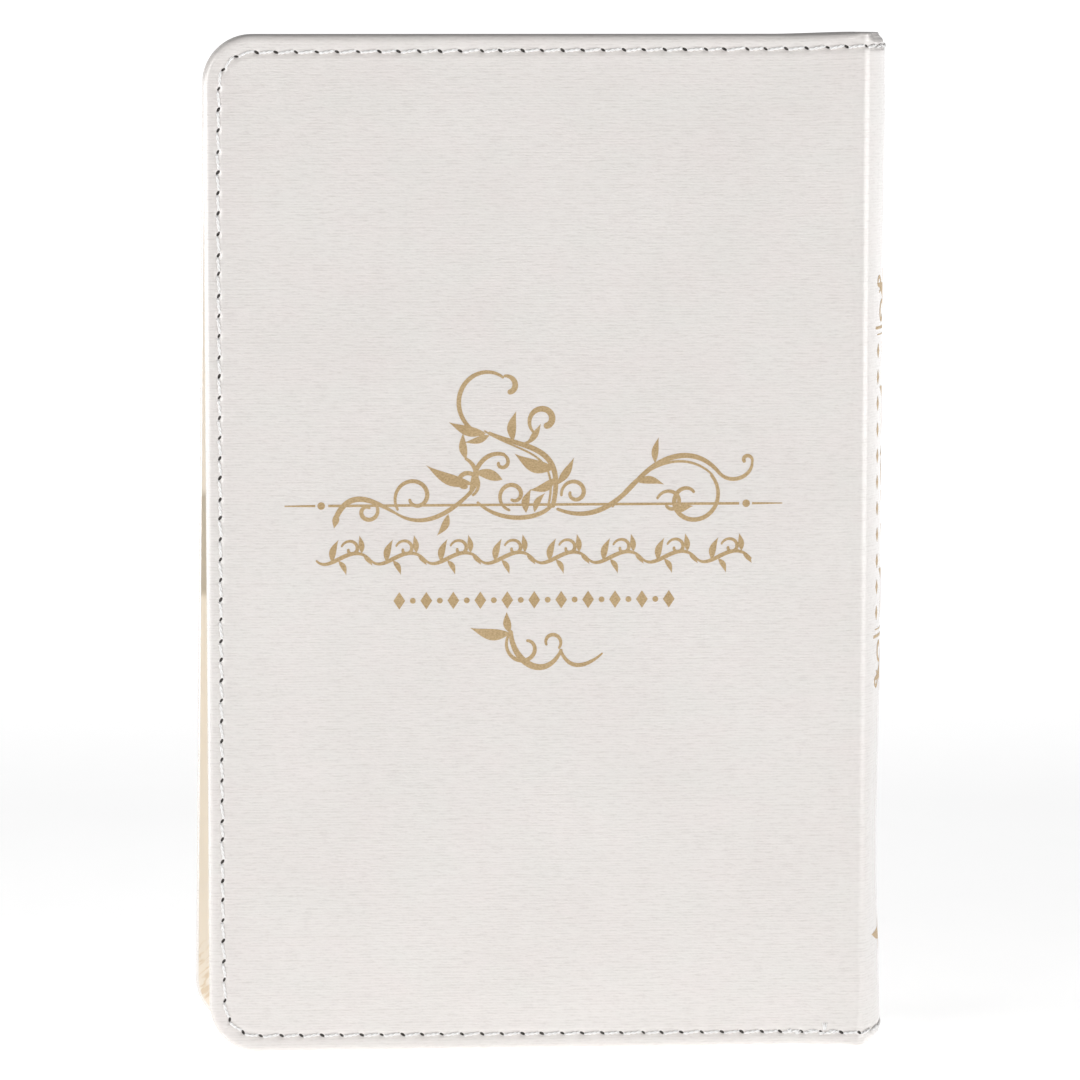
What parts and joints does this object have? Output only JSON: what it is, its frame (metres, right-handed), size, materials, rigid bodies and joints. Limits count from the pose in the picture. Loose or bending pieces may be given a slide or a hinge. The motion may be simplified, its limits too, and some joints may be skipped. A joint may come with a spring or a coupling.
{
  "type": "prayer book",
  "caption": "Small sewn book in a limp imitation-leather case with stitched edges and foil ornament; both covers, the flyleaves and the signatures turn on hinges at the spine.",
  "frame": {"origin": "bottom centre of the book's box as it stands upright on its tail edges", "axes": "+Z from tail to head, +X from fore-edge to spine, back cover facing -Y and front cover facing +Y"},
  "size_m": [0.117, 0.0254, 0.173],
  "materials": {
    "cover_leather": "pearly off-white imitation leather with a fine horizontal grain, satin",
    "thread": "white twisted polyester sewing thread",
    "gold_foil": "hot-stamped gold foil, satin",
    "endpaper": "smooth uncoated cream endpaper with a taupe band",
    "page_paper": "thin matt book paper, gilt on its edges",
    "cover_board": "grey-brown bendable board",
    "card": "manila card",
    "crash_cloth": "open-weave starched cotton mull",
    "glue": "dried bookbinding adhesive",
    "headband_silk": "cream and gold striped silk over a cord"
  },
  "bodies": {
    "spine": {"spine_leather": "cover_leather", "spine_inlay": "card", "spine_stitching": "thread", "spine_ornament": "gold_foil", "spine_glue": "glue", "spine_crash_cloth": "crash_cloth", "spine_liner": "card", "sewing_thread": "thread", "headband": "headband_silk", "tailband": "headband_silk"},
    "front_cover": {"front_cover_leather": "cover_leather", "front_cover_board": "cover_board", "front_cover_infill_card": "card", "front_cover_crash_flange": "crash_cloth", "front_cover_pastedown": "endpaper", "front_cover_stitching": "thread", "front_cover_ornament": "gold_foil"},
    "back_cover": {"back_cover_leather": "cover_leather", "back_cover_board": "cover_board", "back_cover_infill_card": "card", "back_cover_crash_flange": "crash_cloth", "back_cover_pastedown": "endpaper", "back_cover_stitching": "thread", "back_cover_ornament": "gold_foil"},
    "front_flyleaf": {"front_flyleaf": "endpaper"},
    "back_flyleaf": {"back_flyleaf": "endpaper"},
    "signature_01": {"signature_01": "page_paper"},
    "signature_02": {"signature_02": "page_paper"},
    "signature_03": {"signature_03": "page_paper"},
    "signature_04": {"signature_04": "page_paper"},
    "signature_05": {"signature_05": "page_paper"},
    "signature_06": {"signature_06": "page_paper"},
    "signature_07": {"signature_07": "page_paper"},
    "signature_08": {"signature_08": "page_paper"},
    "signature_09": {"signature_09": "page_paper"},
    "signature_10": {"signature_10": "page_paper"},
    "signature_11": {"signature_11": "page_paper"},
    "signature_12": {"signature_12": "page_paper"},
    "signature_13": {"signature_13": "page_paper"},
    "signature_14": {"signature_14": "page_paper"},
    "signature_15": {"signature_15": "page_paper"},
    "signature_16": {"signature_16": "page_paper"},
    "signature_17": {"signature_17": "page_paper"},
    "signature_18": {"signature_18": "page_paper"},
    "signature_19": {"signature_19": "page_paper"},
    "signature_20": {"signature_20": "page_paper"},
    "signature_21": {"signature_21": "page_paper"},
    "signature_22": {"signature_22": "page_paper"},
    "signature_23": {"signature_23": "page_paper"},
    "signature_24": {"signature_24": "page_paper"}
  },
  "joints": [
    {"name": "front_cover_hinge", "type": "hinge", "parent": "spine", "child": "front_cover", "pos_m": [0.05374, 0.01265, 0.0865], "axis": [0, 0, -1], "range_deg": [0, 180]},
    {"name": "back_cover_hinge", "type": "hinge", "parent": "spine", "child": "back_cover", "pos_m": [0.05374, -0.01265, 0.0865], "axis": [0, 0, 1], "range_deg": [0, 180]},
    {"name": "front_flyleaf_turn", "type": "hinge", "parent": "spine", "child": "front_flyleaf", "pos_m": [0.05299, 0.01018, 0.0865], "axis": [0, 0, -1], "range_deg": [0, 82]},
    {"name": "back_flyleaf_turn", "type": "hinge", "parent": "spine", "child": "back_flyleaf", "pos_m": [0.05299, -0.01018, 0.0865], "axis": [0, 0, 1], "range_deg": [0, 82]},
    {"name": "signature_01_turn", "type": "hinge", "parent": "spine", "child": "signature_01", "pos_m": [0.05299, 0.00958, 0.0865], "axis": [0, 0, -1], "range_deg": [0, 70.5]},
    {"name": "signature_02_turn", "type": "hinge", "parent": "spine", "child": "signature_02", "pos_m": [0.05299, 0.00875, 0.0865], "axis": [0, 0, -1], "range_deg": [0, 64.67]},
    {"name": "signature_03_turn", "type": "hinge", "parent": "spine", "child": "signature_03", "pos_m": [0.05299, 0.00792, 0.0865], "axis": [0, 0, -1], "range_deg": [0, 58.83]},
    {"name": "signature_04_turn", "type": "hinge", "parent": "spine", "child": "signature_04", "pos_m": [0.05299, 0.00708, 0.0865], "axis": [0, 0, -1], "range_deg": [0, 53]},
    {"name": "signature_05_turn", "type": "hinge", "parent": "spine", "child": "signature_05", "pos_m": [0.05299, 0.00625, 0.0865], "axis": [0, 0, -1], "range_deg": [0, 47.17]},
    {"name": "signature_06_turn", "type": "hinge", "parent": "spine", "child": "signature_06", "pos_m": [0.05299, 0.00542, 0.0865], "axis": [0, 0, -1], "range_deg": [0, 41.33]},
    {"name": "signature_07_turn", "type": "hinge", "parent": "spine", "child": "signature_07", "pos_m": [0.05299, 0.00458, 0.0865], "axis": [0, 0, -1], "range_deg": [0, 35.5]},
    {"name": "signature_08_turn", "type": "hinge", "parent": "spine", "child": "signature_08", "pos_m": [0.05299, 0.00375, 0.0865], "axis": [0, 0, -1], "range_deg": [0, 29.67]},
    {"name": "signature_09_turn", "type": "hinge", "parent": "spine", "child": "signature_09", "pos_m": [0.05299, 0.00292, 0.0865], "axis": [0, 0, -1], "range_deg": [0, 23.83]},
    {"name": "signature_10_turn", "type": "hinge", "parent": "spine", "child": "signature_10", "pos_m": [0.05299, 0.00208, 0.0865], "axis": [0, 0, -1], "range_deg": [0, 18]},
    {"name": "signature_11_turn", "type": "hinge", "parent": "spine", "child": "signature_11", "pos_m": [0.05299, 0.00125, 0.0865], "axis": [0, 0, -1], "range_deg": [0, 12.17]},
    {"name": "signature_12_turn", "type": "hinge", "parent": "spine", "child": "signature_12", "pos_m": [0.05299, 0.00042, 0.0865], "axis": [0, 0, -1], "range_deg": [0, 6.33]},
    {"name": "signature_13_turn", "type": "hinge", "parent": "spine", "child": "signature_13", "pos_m": [0.05299, -0.00042, 0.0865], "axis": [0, 0, 1], "range_deg": [0, 6.33]},
    {"name": "signature_14_turn", "type": "hinge", "parent": "spine", "child": "signature_14", "pos_m": [0.05299, -0.00125, 0.0865], "axis": [0, 0, 1], "range_deg": [0, 12.17]},
    {"name": "signature_15_turn", "type": "hinge", "parent": "spine", "child": "signature_15", "pos_m": [0.05299, -0.00208, 0.0865], "axis": [0, 0, 1], "range_deg": [0, 18]},
    {"name": "signature_16_turn", "type": "hinge", "parent": "spine", "child": "signature_16", "pos_m": [0.05299, -0.00292, 0.0865], "axis": [0, 0, 1], "range_deg": [0, 23.83]},
    {"name": "signature_17_turn", "type": "hinge", "parent": "spine", "child": "signature_17", "pos_m": [0.05299, -0.00375, 0.0865], "axis": [0, 0, 1], "range_deg": [0, 29.67]},
    {"name": "signature_18_turn", "type": "hinge", "parent": "spine", "child": "signature_18", "pos_m": [0.05299, -0.00458, 0.0865], "axis": [0, 0, 1], "range_deg": [0, 35.5]},
    {"name": "signature_19_turn", "type": "hinge", "parent": "spine", "child": "signature_19", "pos_m": [0.05299, -0.00542, 0.0865], "axis": [0, 0, 1], "range_deg": [0, 41.33]},
    {"name": "signature_20_turn", "type": "hinge", "parent": "spine", "child": "signature_20", "pos_m": [0.05299, -0.00625, 0.0865], "axis": [0, 0, 1], "range_deg": [0, 47.17]},
    {"name": "signature_21_turn", "type": "hinge", "parent": "spine", "child": "signature_21", "pos_m": [0.05299, -0.00708, 0.0865], "axis": [0, 0, 1], "range_deg": [0, 53]},
    {"name": "signature_22_turn", "type": "hinge", "parent": "spine", "child": "signature_22", "pos_m": [0.05299, -0.00792, 0.0865], "axis": [0, 0, 1], "range_deg": [0, 58.83]},
    {"name": "signature_23_turn", "type": "hinge", "parent": "spine", "child": "signature_23", "pos_m": [0.05299, -0.00875, 0.0865], "axis": [0, 0, 1], "range_deg": [0, 64.67]},
    {"name": "signature_24_turn", "type": "hinge", "parent": "spine", "child": "signature_24", "pos_m": [0.05299, -0.00958, 0.0865], "axis": [0, 0, 1], "range_deg": [0, 70.5]}
  ],
  "couplings": [
    {"joint": "front_flyleaf_turn", "follows": "front_cover_hinge", "ratio": 0.45},
    {"joint": "back_flyleaf_turn", "follows": "back_cover_hinge", "ratio": 0.45},
    {"joint": "signature_01_turn", "follows": "front_cover_hinge", "ratio": 0.38889},
    {"joint": "signature_02_turn", "follows": "front_cover_hinge", "ratio": 0.35648},
    {"joint": "signature_03_turn", "follows": "front_cover_hinge", "ratio": 0.32407},
    {"joint": "signature_04_turn", "follows": "front_cover_hinge", "ratio": 0.29167},
    {"joint": "signature_05_turn", "follows": "front_cover_hinge", "ratio": 0.25926},
    {"joint": "signature_06_turn", "follows": "front_cover_hinge", "ratio": 0.22685},
    {"joint": "signature_07_turn", "follows": "front_cover_hinge", "ratio": 0.19444},
    {"joint": "signature_08_turn", "follows": "front_cover_hinge", "ratio": 0.16204},
    {"joint": "signature_09_turn", "follows": "front_cover_hinge", "ratio": 0.12963},
    {"joint": "signature_10_turn", "follows": "front_cover_hinge", "ratio": 0.097222},
    {"joint": "signature_11_turn", "follows": "front_cover_hinge", "ratio": 0.064815},
    {"joint": "signature_12_turn", "follows": "front_cover_hinge", "ratio": 0.032407},
    {"joint": "signature_13_turn", "follows": "back_cover_hinge", "ratio": 0.032407},
    {"joint": "signature_14_turn", "follows": "back_cover_hinge", "ratio": 0.064815},
    {"joint": "signature_15_turn", "follows": "back_cover_hinge", "ratio": 0.097222},
    {"joint": "signature_16_turn", "follows": "back_cover_hinge", "ratio": 0.12963},
    {"joint": "signature_17_turn", "follows": "back_cover_hinge", "ratio": 0.16204},
    {"joint": "signature_18_turn", "follows": "back_cover_hinge", "ratio": 0.19444},
    {"joint": "signature_19_turn", "follows": "back_cover_hinge", "ratio": 0.22685},
    {"joint": "signature_20_turn", "follows": "back_cover_hinge", "ratio": 0.25926},
    {"joint": "signature_21_turn", "follows": "back_cover_hinge", "ratio": 0.29167},
    {"joint": "signature_22_turn", "follows": "back_cover_hinge", "ratio": 0.32407},
    {"joint": "signature_23_turn", "follows": "back_cover_hinge", "ratio": 0.35648},
    {"joint": "signature_24_turn", "follows": "back_cover_hinge", "ratio": 0.38889}
  ]
}
